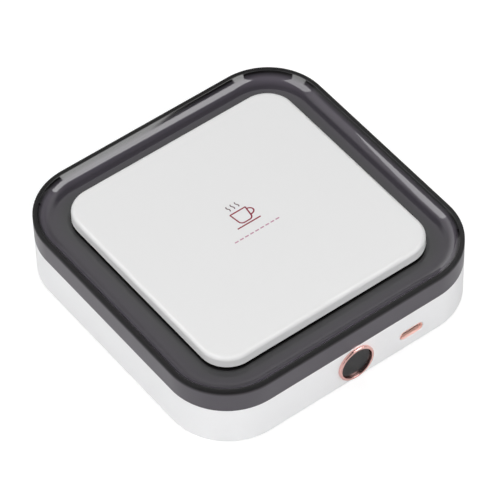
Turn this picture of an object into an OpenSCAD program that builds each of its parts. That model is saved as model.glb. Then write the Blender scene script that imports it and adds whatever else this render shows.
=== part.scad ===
// Electric mug warmer: a rounded square housing with a dished smoked tray, a raised
// heated plate, a push button and a power inlet in the front wall.
// Millimetres, +Z up. -Y is the front. The origin is the middle of the footprint,
// on the surface that the feet stand on.

/* [Body] */
// Outer width and depth of the body
body_w = 110; // [99:1:124]
// Corner radius of the body, seen from above
corner_r = 21.6; // [19:0.2:26]
// Height of the white base shell
base_h = 15.3; // [13.7:0.1:19]
// Height of the smoked tray above the base shell
tray_h = 9.4; // [9:0.1:12]
// Wall thickness of the base shell and of the tray
wall_t = 2.4; // [2.2:0.1:3]
// Rounding of the base shell's lower edge
base_edge_r = 0.6; // [0.3:0.1:1]

/* [Tray] */
// Width of the tray's rounded rim
rim_w = 1.6; // [1.2:0.1:2.2]
// Depth of the moat below the rim
moat_depth = 4.1; // [3.7:0.1:4.6]
// Radius of the bend between the moat's floor and its outer side
moat_bend_r = 5.2; // [3.6:0.1:5.6]
// Slope of the moat's outer side, up from level
moat_slope = 55; // [50:1:62]
// Thickness of the moat's floor
floor_t = 2; // [1.6:0.1:2.6]
// Height of the base shell's tongue that centres the tray
tongue_h = 1.6; // [1:0.1:2]
// Thickness of that tongue
tongue_t = 1.2; // [0.8:0.1:1.4]

/* [Heated plate] */
// Distance from the body's outer face to the heated plate's edge
moat_w = 12.1; // [11.5:0.1:14]
// Corner radius of the plate
plate_r = 10; // [8:0.5:13]
// How far the plate stands above the tray's rim
plate_proud = 0.9; // [0.2:0.1:2]
// Rounding of the plate's upper edge
plate_edge_r = 1.4; // [0.6:0.1:1.8]
// Thickness of the plate's top wall
plate_t = 2.2; // [2:0.1:2.8]
// Thickness of the plate's skirt
skirt_t = 2.4; // [2:0.1:3]
// Thickness of the seal between skirt and tray
gasket_t = 1.1; // [0.8:0.1:1.5]

/* [Heater] */
// How far the film heater's edge lies in from the plate's edge
heater_inset = 10.9; // [10:0.1:14]
// Thickness of the film heater
heater_t = 0.5; // [0.3:0.1:0.8]
// Width of the heater's foil track
track_w = 2; // [1.4:0.1:2.4]
// Distance between the runs of the foil track
track_pitch = 4; // [3.6:0.1:5]
// Gap between the insulation pad and the tray's opening
pad_gap = 2; // [1:0.1:3]
// Thickness of the steel bracket that pulls the plate down
bracket_t = 0.8; // [0.6:0.1:1.2]
// Width that the bracket laps under the tray's floor
bracket_lap = 2; // [1.5:0.1:2.5]
// How far the plate's screw bosses lie in from the plate's edge
boss_inset = 9.9; // [9.4:0.1:10.6]
// Diameter of the plate's screw bosses
boss_d = 6.4; // [5.6:0.1:7]

/* [Button] */
// Width of the metal ring round the button
ring_w = 0.86; // [0.7:0.01:1]
// How far the ring stands out of the front wall
ring_proud = 0.93; // [0.6:0.01:1.4]
// Diameter of the button cap
cap_d = 11.6; // [10.6:0.1:12]
// How far the cap's face lies behind the ring's front
cap_recess = 0.9; // [0.2:0.1:1.2]
// Gap between the ring and the tray above it
ring_gap = 0.45; // [0.3:0.05:0.9]
// How far the button travels when it is pressed
button_travel = 0.5; // [0.3:0.1:0.8]
// Radial running clearance of the cap in the ring
cap_fit = 0.09; // [0.05:0.01:0.1]

/* [Electronics] */
// Thickness of the circuit board
board_t = 1.6; // [1:0.1:1.6]
// Distance of the power inlet's axis from the middle of the front
port_x = 22.4; // [20:0.2:23.4]
// Width of the power inlet's shell
port_w = 8.94; // [8.5:0.01:9.4]
// Height of the power inlet's shell
port_height = 3.26; // [3:0.01:3.5]
// Diameter of the heater's wires
heater_wire_d = 1.4; // [1:0.1:1.8]
// Diameter of the sensor's wires
sensor_wire_d = 0.9; // [0.7:0.1:1.2]

/* [Bottom] */
// How far the feet lift the base shell off the table
foot_gap = 0.8; // [0.6:0.1:2]
// Diameter of the rubber feet
foot_d = 10.4; // [9:0.1:10.8]
// Thickness of the bottom cover
cover_t = 1.5; // [1.4:0.1:1.6]
// Gap between the corner bosses and the ledge inside the base shell
post_gap = 0.5; // [0.3:0.1:1.5]
// Number of vent slots in the bottom cover
vent_count = 6; // [3:1:8]
// Length of each vent slot
vent_len = 36; // [20:1:44]

/* [Hidden] */
$fn = 96;

eps = 1;                 // overrun of a cut past the face that it opens
fit = 0.15;              // gap round a piece that drops into its place
bore_fit = 0.05;         // radial clearance of a round piece in its bore
hole_fit = 0.2;          // radial clearance of a screw in its through hole
half = body_w / 2;
front_y = -half;         // outer face of the front wall

// Heights, from the table up.
base_z = foot_gap;                       // lower edge of the base shell
cover_lift = 0.2;
cover_z = base_z + cover_lift;           // underside of the bottom cover
cover_top = cover_z + cover_t;
part_z = base_z + base_h;                // line between base shell and tray
rim_z = part_z + tray_h;
floor_z = rim_z - moat_depth;            // top of the moat's floor
floor_under = floor_z - floor_t;
plate_z = rim_z + plate_proud;           // top of the heated plate
skirt_z = floor_z + gasket_t;            // lower edge of the plate's skirt
plate_under = plate_z - plate_t;
track_t = 0.15;
heater_under = plate_under - heater_t;
track_under = heater_under - track_t;
bracket_z = floor_under - bracket_t;     // underside of the bracket

// Tray section: a bend leads from the moat's floor into a straight side, which runs
// up at the slope until it touches the round of the rim.
rim_r = rim_w / 2;
rim_at = [rim_r, rim_z - rim_r];         // centre of the rim's round
side_lap = 0.001;                        // how far the rounds reach past the straight side
side_facing = [sin(moat_slope), cos(moat_slope)];
side_top = rim_at + (rim_r - side_lap) * side_facing;
foot_to_bend = (moat_bend_r - side_lap) * side_facing;  // from the side's foot to the bend's centre
side_rise = side_top.y + foot_to_bend.y - floor_z - moat_bend_r;
bend_u = side_top.x + side_rise / tan(moat_slope) + foot_to_bend.x;
bend_at = [bend_u, floor_z + moat_bend_r];  // centre of the bend
flat_w = 0.4;                            // flat floor that is swept with the bend
ring_u = bend_u + flat_w;                // width of the swept ring
rabbet_u = wall_t - tongue_t;            // outer face of the tongue
ledge_w = 1.6;                           // inner ledge that the bottom cover bears on
ledge_h = 1;                             // height of the ledge's upright face
wall_rib_gap = 0.6;                      // from the side walls' ribs to the tray

// Plate, opening in the tray, and what hangs below the plate.
plate_half = half - moat_w;
plate_ring_u = 4;                        // width of the plate's swept edge
gasket_inset = 0.5;
gasket_w = 2.9;
gasket_lip_h = 1;
gasket_lip_gap = 0.1;                    // from the skirt's inner face to the seal's lip
opening_inset = 3.9;                     // tray opening, in from the plate's outline
opening_half = plate_half - opening_inset;
opening_r = plate_r - opening_inset;
bracket_half = opening_half + bracket_lap;
bracket_r = 12;
boss_xy = plate_half - boss_inset;
heater_half = plate_half - heater_inset;
plate_screw_d = 2.4;
plate_screw_len = 4.6;                   // depth of its pilot bore in the boss
plate_screw_head_r = 2.3;
plate_screw_head_h = 1.5;
screw_end_gap = 0.4;                     // from a screw's end to the bottom of its bore
heater_r = 10;
pad_r = 8;
pad_fit = 0.4;                           // radial gap between the pad and the bosses
arm_w = 12;                              // width of the bracket's frame and arms
track_side = 8;                          // film left beside the foil track
track_end = 4;                           // film left past the ends of its straight runs
track_runs = 2 * floor((heater_half - track_side) / track_pitch);
track_len = 2 * (heater_half - heater_r - track_end);
track_x = (track_runs - 1) * track_pitch / 2;
terminal_len = 3;
terminal_w = track_w + 1;
terminal_y = -(track_len + terminal_len) / 2;

// Button, in the frame of its own axis: 0 is the outer face of the front wall, + goes in.
cap_r = cap_d / 2;
ring_bore_r = cap_r + cap_fit;
ring_r = ring_bore_r + ring_w;
button_z = part_z - ring_gap - ring_r;
tube_wall = 0.41;
tube_r = ring_bore_r + tube_wall;        // sleeve of the ring, through the wall
tube_proud = 0.4;                        // how far the sleeve reaches out of the wall inside
tube_end = wall_t + tube_proud;
cap_flange_r = tube_r;                   // flange that keeps the cap in the sleeve
cap_flange_t = 1.1;
cap_flange_gap = 0.1;
cap_wall = 1.2;
cap_edge_r = 0.4;
stem_r = 2.2;
switch_at = 10.7;                        // front face of the switch body
plunger_len = 1.3;
plunger_r = 1.6;
plunger_seat = 0.7;                      // length of the plunger inside the switch body
plunger_fit = 0.08;
plunger_room = 1;                        // bore left behind the pressed plunger
play = 0.1;                              // free play between stem and plunger
switch_size = [6.2, 3.7, 6.2];
relief = 0.5;
relief_r = cap_flange_r + relief;        // room round the flange in ledge and cover

// Board and what stands on it.
board_lift = 1.5;
board_z = cover_top + board_lift;        // underside of the board
board_top = board_z + board_t;
notch_half = 8.5;                        // half width of the notch for the button
board_left = 7.5;                        // board beside the notch, on the left
board_side = 19;                         // from the right side wall's face to the board
board_rear = 35;                         // from the front wall's face to the board's rear edge
board_x = [-notch_half - board_left, half - board_side];
board_y = [front_y + wall_t + ledge_w + 2 * fit, front_y + board_rear];
notch_gap = 1;                           // from the notch's end to the switch
notch_end = front_y + switch_at - notch_gap;
board_boss_r = 2.5;
board_screw_d = 1.9;
board_screw_head_r = 1.9;
board_screw_head_h = 1.3;
board_screw_grip = 1.7;                  // screw length below the board
board_pilot_floor = 0.8;                 // cover left below the screws' pilot bores
port_z = board_top + port_height / 2;
port_wall = 0.3;
port_len = 7.3;
port_inset = 0;                          // from the front wall's face to the inlet's
port_back_t = 1.6;                       // insulator at the back of the inlet
contact_size = [6.6, 0.7];               // width and thickness of the inlet's tongue
contact_inset = 1.5;                     // from the shell's front to the tongue's
board_margin = 3.6;                      // from the board's edges to its screws
screw_row = front_y + port_inset + port_len + board_screw_head_r + 3 * fit;
board_holes = [for (x = [board_x[0] + board_margin, board_x[1] - board_margin],
                    y = [screw_row, board_y[1] - board_margin]) [x, y]];
connector_gap = 7;                       // from the board's rear edge to the connectors
connector_y = board_y[1] - connector_gap;
connector_h = 6;
connector_depth = 5.2;
heater_pitch = 2.5;
heater_plug_w = 7.5;
heater_plug_x = track_x - heater_pitch / 2;
sensor_pitch = 2;
sensor_plug_w = 6.5;
plug_pitch = 11.8;                       // between the two connectors
sensor_plug_x = heater_plug_x - plug_pitch;
chip_at = [sensor_plug_x, connector_y] + [-11, -3];
transistor_at = [heater_plug_x, connector_y] + [-1.8, -10];
capacitor_at = [board_x[1], connector_y] + [-6, -8];
resistor_at = [sensor_plug_x, connector_y] + [-2, -11];
resistor_size = [1.6, 0.8, 0.5];
resistor_pitch = 3;
lead_bend = 1.2;                         // radius on which the leads turn
lead_rise = 0.6;                         // straight piece between connector and bend
lead_turn_z = board_top + connector_h + lead_bend + lead_rise;
lane = 2;                                // room beside the wires in the insulation pad

// Sensor and fuse lie against the heater, in lanes of the insulation pad.
fuse_y = 3;
fuse_r = 1.8;
fuse_x = [-5, 5];
fuse_end = 4;                            // bare wire at each end of the fuse
fuse_wire_r = 0.4;
fuse_gap = 0.1;                          // from the foil track to the fuse
fuse_z = track_under - fuse_r - fuse_gap;
sensor_y = -3;
sensor_size = [7, 3, 2];
sensor_z = track_under - sensor_size.z / 2;
sensor_spread = 0.6;                     // half the distance of its leads at the bead

// Screws, posts and feet in the corners.
screw_d = 2.9;
screw_head_r = 2.7;
screw_head_h = 2;
screw_len = 10;
cover_boss_r = 4.2;
post_xy = half - corner_r
    + (corner_r - wall_t - ledge_w - post_gap - cover_boss_r) / sqrt(2);
cover_boss_h = 6.5;
cover_boss_top = cover_z + cover_boss_h;
seat_h = 4;
seat_z = cover_z + seat_h;               // where the screw heads bear
counterbore_r = 3;
plug_fit = 0.1;                          // radial gap round the feet's plugs
plug_gap = 0.2;                          // from the plugs to the screw heads
post_r = 3.4;
post_flare = 1.2;
foot_recess = 0.5;
rib_t = 1.2;
cover_rib_x = 28;
cover_rib_y = [-10, 34];
cover_rib_h = 2;
vent_w = 2;
vent_pitch = 5;
vent_y = 12;                             // middle of the vent slots

// ---- shared shapes ----

// Rounded square outline, from two crossing bars and four quarter discs.
module rounded_square(h, r) {
    square([2 * h, 2 * (h - r)], center = true);
    square([2 * (h - r), 2 * h], center = true);
    for (k = [0:3]) rotate(90 * k) translate([h - r, h - r]) intersection() {
        circle(r);
        square(r);
    }
}

module rounded_block(h, r, z0, z1) {
    translate([0, 0, z0]) linear_extrude(z1 - z0) rounded_square(h, r);
}

// Carries a section, drawn as [distance in from the outline, height], once round a
// rounded square: four straight runs joined by four quarter turns.
module sweep_round(h, r) {
    for (k = [0:3]) rotate([0, 0, 90 * k]) {
        translate([0, -h, 0]) rotate([90, 0, 90])
            linear_extrude(2 * (h - r), center = true) children();
        translate([h - r, -(h - r), 0]) rotate([0, 0, -90])
            rotate_extrude(angle = 90) translate([r, 0]) mirror([1, 0, 0]) children();
    }
}

// Box from one corner to the opposite one.
module span(a, b) {
    translate(a) cube(b - a);
}

// Flat slot with round ends, width along X.
module slot_2d(w, h) {
    square([w - h, h], center = true);
    for (s = [0, 1]) mirror([s, 0, 0]) translate([(w - h) / 2, 0]) intersection() {
        circle(d = h);
        translate([0, -h / 2]) square([h / 2, h]);
    }
}

module at_corners(d) {
    for (x = [-d, d], y = [-d, d]) translate([x, y, 0]) children();
}

// Puts a shape on the button's axis: its +Z points into the housing.
module on_button_axis() {
    translate([0, front_y, button_z]) rotate([-90, 0, 0]) children();
}

// Puts a shape on the power inlet's axis, its +Z into the housing.
module on_port_axis(depth) {
    translate([port_x, front_y + depth, port_z]) rotate([-90, 0, 0]) children();
}

function unit(v) = v / norm(v);

// Stands a shape's Z axis along dir at point p.
module along(p, dir) {
    translate(p) rotate([0, acos(dir.z), atan2(dir.y, dir.x)]) children();
}

// Quarter turn of a wire from direction a into direction b round the corner point p.
module wire_bend(p, a, b, d, r) {
    c = p + r * (b - a);
    n = cross(a, b);
    multmatrix([[-b.x, a.x, n.x, c.x], [-b.y, a.y, n.y, c.y], [-b.z, a.z, n.z, c.z], [0, 0, 0, 1]])
        rotate_extrude(angle = 90) translate([r, 0]) circle(d = d, $fn = 24);
}

// Round wire through points joined by right-angled corners, each turned on radius r.
module wire_run(points, d, r) {
    last = len(points) - 1;
    dirs = [for (i = [0:last - 1]) unit(points[i + 1] - points[i])];
    for (i = [0:last - 1]) {
        a = points[i] + (i > 0 ? r : 0) * dirs[i];
        b = points[i + 1] - (i < last - 1 ? r : 0) * dirs[i];
        along(a, dirs[i]) cylinder(h = norm(b - a), d = d, $fn = 24);
    }
    for (i = [1:last - 1]) wire_bend(points[i], dirs[i - 1], dirs[i], d, r);
}

// Pan head with a cross recess, head down, shank up from z = 0.
module screw(head_r, head_h, d, len) {
    top_r = 0.8 * head_r;
    cross = [head_r, 0.24 * head_r, 0.45 * head_h];
    difference() {
        translate([0, 0, -head_h]) cylinder(h = head_h, r1 = top_r, r2 = head_r);
        for (a = [0, 90]) rotate(a)
            translate([-cross.x / 2, -cross.y / 2, -head_h - eps])
                cube(cross + [0, 0, eps]);
    }
    cylinder(h = len, d = d);
}

// ---- housing ----

// Section of the base shell: rounded lower edge, tongue on top, ledge for the cover.
module base_section() {
    translate([base_edge_r, base_z]) square([wall_t - base_edge_r, base_edge_r]);
    translate([base_edge_r, base_z + base_edge_r]) intersection() {
        circle(base_edge_r);
        translate([-base_edge_r, -base_edge_r]) square(base_edge_r);
    }
    translate([0, base_z + base_edge_r]) square([wall_t, base_h - base_edge_r]);
    translate([rabbet_u, part_z]) square([tongue_t, tongue_h]);
    polygon([
        [wall_t, cover_top], [wall_t + ledge_w, cover_top],
        [wall_t + ledge_w, cover_top + ledge_h], [wall_t, cover_top + ledge_h + ledge_w]
    ]);
}

module base_shell() {
    rib_at = half / 3;
    color([0.93, 0.93, 0.94]) difference() {
        union() {
            sweep_round(half, corner_r) base_section();
            // stiffening ribs on the left, right and rear walls
            for (a = [90, 180, 270], s = [-1, 1]) rotate(a)
                span([s * rib_at - rib_t / 2, -half + wall_t, cover_top + ledge_h],
                     [s * rib_at + rib_t / 2, -half + wall_t + ledge_w, part_z - wall_rib_gap]);
        }
        // bore for the ring's sleeve, and room for the cap's flange behind it
        on_button_axis() translate([0, 0, -eps]) cylinder(h = tube_end + eps, r = tube_r + bore_fit);
        on_button_axis() translate([0, 0, wall_t]) cylinder(h = ledge_w + eps, r = relief_r);
        // opening for the power inlet
        on_port_axis(-eps) linear_extrude(wall_t + ledge_w + 2 * eps)
            slot_2d(port_w + 2 * fit, port_height + 2 * fit);
    }
}

module bottom_cover() {
    color([0.9, 0.9, 0.91]) difference() {
        union() {
            rounded_block(half - wall_t - fit, corner_r - wall_t - fit, cover_z, cover_top);
            at_corners(post_xy) translate([0, 0, cover_top])
                cylinder(h = cover_boss_top - cover_top, r = cover_boss_r);
            for (p = board_holes) translate([p.x, p.y, cover_top])
                cylinder(h = board_z - cover_top, r = board_boss_r);
            for (s = [-1, 1])
                span([s * cover_rib_x - rib_t / 2, cover_rib_y[0], cover_top],
                     [s * cover_rib_x + rib_t / 2, cover_rib_y[1], cover_top + cover_rib_h]);
        }
        at_corners(post_xy) {
            translate([0, 0, cover_z - eps]) cylinder(h = foot_recess + eps, r = foot_d / 2 + fit);
            translate([0, 0, cover_z - eps]) cylinder(h = seat_z - cover_z + eps, r = counterbore_r);
            translate([0, 0, seat_z - eps])
                cylinder(h = cover_boss_top - seat_z + 2 * eps, d = screw_d + 2 * hole_fit);
        }
        for (p = board_holes) translate([p.x, p.y, cover_z + board_pilot_floor])
            cylinder(h = board_z - cover_z, d = board_screw_d + 2 * bore_fit);
        on_button_axis() translate([0, 0, wall_t]) cylinder(h = switch_at - wall_t, r = relief_r);
        for (i = [0:vent_count - 1])
            translate([0, vent_y + vent_pitch * (i - (vent_count - 1) / 2), cover_z - eps])
                linear_extrude(cover_t + 2 * eps) slot_2d(vent_len, vent_w);
    }
}

// Hollow of the moat in the tray's section: flat floor, bend, straight side.
module moat_section() {
    top = max(bend_at.y, rim_z) + eps;
    translate([bend_u, floor_z]) square([ring_u - bend_u + eps, top - floor_z]);
    translate(bend_at) intersection() {
        circle(moat_bend_r, $fn = 192);
        translate([-moat_bend_r, -moat_bend_r]) square(moat_bend_r);
    }
    polygon([bend_at, bend_at - foot_to_bend, side_top, [side_top.x, top], [bend_u, top]]);
}

// Section of the tray: outer wall, round rim, moat, and the rabbet for the tongue.
module tray_section() {
    under = 1;           // chamfer between the wall and the underside of the floor
    difference() {
        polygon([
            [0, part_z], [wall_t, part_z], [wall_t, floor_under - under],
            [wall_t + under, floor_under], [ring_u, floor_under],
            [ring_u, side_top.y], side_top, rim_at, [0, rim_at.y]
        ]);
        moat_section();
        translate([rabbet_u - fit, part_z - eps]) square([wall_t, tongue_h + fit + eps]);
    }
    translate(rim_at) intersection() {
        circle(rim_r);
        translate([-rim_r, 0]) square([rim_w, rim_r]);
    }
}

module smoke_tray() {
    pilot_top = seat_z + screw_len + screw_end_gap;
    lap_u = ring_u - flat_w / 2;     // the inner floor laps over the swept ring
    color([0.2, 0.19, 0.21]) difference() {
        union() {
            sweep_round(half, corner_r) tray_section();
            difference() {
                rounded_block(half - lap_u, corner_r - lap_u, floor_under, floor_z);
                rounded_block(opening_half, opening_r, floor_under - eps, floor_z + eps);
            }
            at_corners(post_xy) translate([0, 0, cover_boss_top]) {
                cylinder(h = floor_under - cover_boss_top, r = post_r);
                translate([0, 0, floor_under - cover_boss_top - post_flare])
                    cylinder(h = post_flare, r1 = post_r, r2 = post_r + post_flare);
            }
        }
        at_corners(post_xy) translate([0, 0, cover_boss_top - eps])
            cylinder(h = pilot_top - cover_boss_top + eps, r = screw_d / 2 + bore_fit);
    }
}

// ---- heated plate and what hangs from it ----

// Section of the plate's edge: skirt, rounded upper edge, start of the top wall.
module plate_section() {
    translate([0, skirt_z]) square([skirt_t, plate_z - plate_edge_r - skirt_z]);
    translate([plate_edge_r, plate_z - plate_edge_r]) intersection() {
        circle(plate_edge_r);
        translate([-plate_edge_r, 0]) square(plate_edge_r);
    }
    translate([plate_edge_r, plate_z - plate_edge_r])
        square([skirt_t - plate_edge_r, plate_edge_r]);
    translate([skirt_t, plate_under]) square([plate_ring_u - skirt_t, plate_t]);
}

module heating_plate() {
    color([0.92, 0.92, 0.92]) difference() {
        union() {
            sweep_round(plate_half, plate_r) plate_section();
            rounded_block(plate_half - plate_ring_u, plate_r - plate_ring_u, plate_under, plate_z);
            at_corners(boss_xy) translate([0, 0, floor_under])
                cylinder(h = plate_under - floor_under, d = boss_d);
        }
        at_corners(boss_xy) translate([0, 0, floor_under - eps])
            cylinder(h = plate_screw_len + eps, d = plate_screw_d + 2 * bore_fit);
    }
}

module plate_gasket() {
    color([0.08, 0.08, 0.08]) sweep_round(plate_half, plate_r) {
        translate([gasket_inset, floor_z]) square([gasket_w, gasket_t]);
        translate([skirt_t + gasket_lip_gap, skirt_z])
            square([gasket_inset + gasket_w - skirt_t - gasket_lip_gap, gasket_lip_h]);
    }
}

module film_heater() {
    color([0.75, 0.42, 0.12]) rounded_block(heater_half, heater_r, heater_under, plate_under);
}

// Foil track: parallel runs joined by half rings into one meander, with a pad at each end.
module heater_track() {
    ring = (track_pitch + track_w) / 2;
    color([0.72, 0.72, 0.7]) translate([0, 0, track_under]) linear_extrude(track_t) {
        for (i = [0:track_runs - 1]) translate([i * track_pitch - track_x, 0])
            square([track_w, track_len], center = true);
        for (i = [0:track_runs - 2]) let (side = i % 2 == 0 ? 1 : -1)
            translate([(i + 0.5) * track_pitch - track_x, side * track_len / 2])
                rotate(side > 0 ? 0 : 180) intersection() {
                    difference() {
                        circle(ring);
                        circle(ring - track_w);
                    }
                    translate([-ring - eps, 0]) square([2 * (ring + eps), ring + eps]);
                }
        for (s = [-1, 1]) translate([s * track_x, terminal_y])
            square([terminal_w, terminal_len], center = true);
    }
}

// Lane in the insulation pad round the wires that run between two points.
module pad_lane(a, b) {
    low = [min(a.x, b.x), min(a.y, b.y)] - [lane, lane];
    high = [max(a.x, b.x), max(a.y, b.y)] + [lane, lane];
    translate([low.x, low.y, floor_under - eps])
        cube([high.x - low.x, high.y - low.y, track_under - floor_under + 2 * eps]);
}

module insulation_pad() {
    color([0.86, 0.83, 0.76]) difference() {
        rounded_block(opening_half - pad_gap, pad_r, floor_under, track_under);
        at_corners(boss_xy) translate([0, 0, floor_under - eps])
            cylinder(h = track_under - floor_under + 2 * eps, d = boss_d + 2 * pad_fit);
        pad_lane([-track_x, fuse_y], [-track_x, terminal_y]);
        pad_lane([-track_x, fuse_y], [lead_x(-1), fuse_y]);
        pad_lane([fuse_x[0] - fuse_end, sensor_y], [lead_x(1), fuse_y]);
        pad_lane([sensor_plug_x - sensor_pitch / 2, sensor_y], [lead_x(1), terminal_y]);
    }
}

// Steel frame that laps under the tray's floor and is screwed to the plate's bosses.
module heater_bracket() {
    window = bracket_half - arm_w;
    color([0.7, 0.71, 0.73]) difference() {
        rounded_block(bracket_half, bracket_r, bracket_z, floor_under);
        translate([0, 0, bracket_z - eps]) linear_extrude(bracket_t + 2 * eps) {
            for (s = [-1, 1]) translate([0, s * (window + arm_w / 2) / 2])
                square([2 * window, window - arm_w / 2], center = true);
        }
        at_corners(boss_xy) translate([0, 0, bracket_z - eps])
            cylinder(h = bracket_t + 2 * eps, d = plate_screw_d + 2 * hole_fit);
    }
}

module plate_screws() {
    color([0.78, 0.78, 0.8]) at_corners(boss_xy) translate([0, 0, bracket_z])
        screw(plate_screw_head_r, plate_screw_head_h, plate_screw_d,
              bracket_t + plate_screw_len - screw_end_gap);
}

// Flat bead of the temperature sensor, pressed against the heater.
module thermistor() {
    color([0.15, 0.15, 0.16])
        translate([fuse_x[0], sensor_y, track_under - sensor_size.z])
            linear_extrude(sensor_size.z) slot_2d(sensor_size.x, sensor_size.y);
}

// Axial fuse with its two wire ends.
module thermal_fuse() {
    color([0.85, 0.8, 0.7]) translate([fuse_x[0], fuse_y, fuse_z]) rotate([0, 90, 0]) {
        cylinder(h = fuse_x[1] - fuse_x[0], r = fuse_r);
        translate([0, 0, -fuse_end])
            cylinder(h = fuse_x[1] - fuse_x[0] + 2 * fuse_end, r = fuse_wire_r);
    }
}

// Place of a heater lead in its plug, side -1 or 1.
function lead_x(side) = heater_plug_x + side * heater_pitch / 2;

// Points of a lead from (x, y, z) down to its plug: down, level to the front, down.
function lead_drop(x, z) = [[x, terminal_y, z], [x, terminal_y, lead_turn_z],
    [x, connector_y, lead_turn_z], [x, connector_y, board_top + connector_h]];

// One lead from the track's right end, one by way of the fuse, and the fuse's link.
module heater_leads() {
    color([0.75, 0.1, 0.08]) {
        wire_run(lead_drop(lead_x(1), track_under), heater_wire_d, lead_bend);
        wire_run(concat([[fuse_x[1] + fuse_end, fuse_y, fuse_z], [lead_x(-1), fuse_y, fuse_z]],
                        lead_drop(lead_x(-1), fuse_z)), heater_wire_d, lead_bend);
        wire_run([[fuse_x[0] - fuse_end, fuse_y, fuse_z], [-track_x, fuse_y, fuse_z],
                  [-track_x, terminal_y, fuse_z], [-track_x, terminal_y, track_under]],
                 heater_wire_d, lead_bend);
    }
}

module sensor_leads() {
    color([0.1, 0.1, 0.1]) for (s = [-1, 1])
        let (x = sensor_plug_x + s * sensor_pitch / 2, y = sensor_y + s * sensor_spread)
            wire_run(concat([[fuse_x[0] + sensor_size.x / 2, y, sensor_z], [x, y, sensor_z]],
                            lead_drop(x, sensor_z)), sensor_wire_d, lead_bend);
}

// ---- circuit board ----

module circuit_board() {
    color([0.1, 0.35, 0.2]) difference() {
        span([board_x[0], board_y[0], board_z], [board_x[1], board_y[1], board_top]);
        span([-notch_half, board_y[0] - eps, board_z - eps], [notch_half, notch_end, board_top + eps]);
        for (p = board_holes) translate([p.x, p.y, board_z - eps])
            cylinder(h = board_t + 2 * eps, d = board_screw_d + 2 * hole_fit);
    }
}

module port_shell() {
    color([0.87, 0.6, 0.56]) on_port_axis(port_inset) difference() {
        linear_extrude(port_len) slot_2d(port_w, port_height);
        translate([0, 0, -eps]) linear_extrude(port_len + 2 * eps)
            slot_2d(port_w - 2 * port_wall, port_height - 2 * port_wall);
    }
}

// Insulator at the back of the inlet and the tongue that carries its contacts.
module port_tongue() {
    color([0.08, 0.08, 0.08]) on_port_axis(port_inset) {
        translate([0, 0, port_len - port_back_t]) linear_extrude(port_back_t)
            slot_2d(port_w - 2 * port_wall, port_height - 2 * port_wall);
        translate([-contact_size.x / 2, -contact_size.y / 2, contact_inset])
            cube([contact_size.x, contact_size.y, port_len - port_back_t - contact_inset]);
    }
}

// Small-outline package: body, standing off the board, and a row of legs on each side.
module microcontroller() {
    body = [8.6, 3.9, 1.5];
    lift = 0.15;
    leg = [0.4, 1, 0.3];
    leg_pitch = 1.27;
    color([0.1, 0.1, 0.1]) translate([chip_at.x, chip_at.y, board_top]) {
        translate([-body.x / 2, -body.y / 2, lift]) cube(body);
        for (i = [-3:3], s = [0, 1]) mirror([0, s, 0])
            translate([i * leg_pitch - leg.x / 2, body.y / 2, 0]) cube(leg);
    }
}

// Flat power package: body, cooling tab behind it and two legs in front.
module power_transistor() {
    body = [6.6, 6.1, 2.3];
    tab = [5.2, 1.1, 0.6];
    leg = [0.8, 2.6, 0.5];
    leg_x = 2.3;
    color([0.12, 0.12, 0.12]) translate([transistor_at.x, transistor_at.y, board_top]) {
        translate([-body.x / 2, -body.y / 2, 0]) cube(body);
        translate([-tab.x / 2, body.y / 2, 0]) cube(tab);
        for (x = [-leg_x, leg_x]) translate([x - leg.x / 2, -body.y / 2 - leg.y, 0]) cube(leg);
    }
}

// Round can on a square base.
module filter_capacitor() {
    base = [6.6, 6.6, 0.8];
    can_r = 3.1;
    can_h = 6.9;
    color([0.75, 0.76, 0.78]) translate([capacitor_at.x, capacitor_at.y, board_top]) {
        translate([-base.x / 2, -base.y / 2, 0]) cube(base);
        translate([0, 0, base.z]) cylinder(h = can_h, r = can_r);
    }
}

module chip_resistors() {
    color([0.12, 0.12, 0.13]) for (i = [0:2], j = [0:1])
        translate([resistor_at.x + resistor_pitch * i, resistor_at.y + resistor_pitch * j, board_top])
            cube(resistor_size);
}

// Blocks that take the heater's and the sensor's leads from above.
module lead_connectors() {
    color([0.94, 0.93, 0.88])
        for (p = [[heater_plug_x, heater_plug_w], [sensor_plug_x, sensor_plug_w]])
            span([p[0] - p[1] / 2, connector_y - connector_depth / 2, board_top],
                 [p[0] + p[1] / 2, connector_y + connector_depth / 2, board_top + connector_h]);
}

module board_screws() {
    color([0.78, 0.78, 0.8]) for (p = board_holes) translate([p.x, p.y, board_top])
        mirror([0, 0, 1])
            screw(board_screw_head_r, board_screw_head_h, board_screw_d, board_t + board_screw_grip);
}

// ---- button and switch ----

module button_bezel() {
    bead_r = (ring_r - ring_bore_r) / 2;
    step = ring_proud - bead_r;
    color([0.87, 0.6, 0.56]) on_button_axis() rotate_extrude() {
        translate([ring_bore_r, 0]) square([tube_wall, tube_end]);
        translate([ring_bore_r, -step]) square([2 * bead_r, step]);
        translate([ring_bore_r + bead_r, -step]) intersection() {
            circle(bead_r);
            translate([-bead_r, -bead_r]) square([2 * bead_r, bead_r]);
        }
    }
}

// Hollow cap with a rounded face, a flange behind the sleeve and a stem to the switch.
module button_cap() {
    face = cap_recess - ring_proud;
    flange_at = tube_end + cap_flange_gap;
    stem_end = switch_at - plunger_len - play;
    color([0.1, 0.1, 0.11]) on_button_axis() rotate_extrude() {
        translate([0, face]) square([cap_r - cap_edge_r, cap_wall]);
        translate([cap_r - cap_edge_r, face + cap_edge_r]) intersection() {
            circle(cap_edge_r);
            translate([0, -cap_edge_r]) square(cap_edge_r);
        }
        translate([cap_r - cap_wall, face + cap_edge_r])
            square([cap_wall, flange_at + cap_flange_t - face - cap_edge_r]);
        translate([cap_r, flange_at]) square([cap_flange_r - cap_r, cap_flange_t]);
        translate([0, face + cap_wall]) square([stem_r, stem_end - face - cap_wall]);
    }
}

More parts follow.
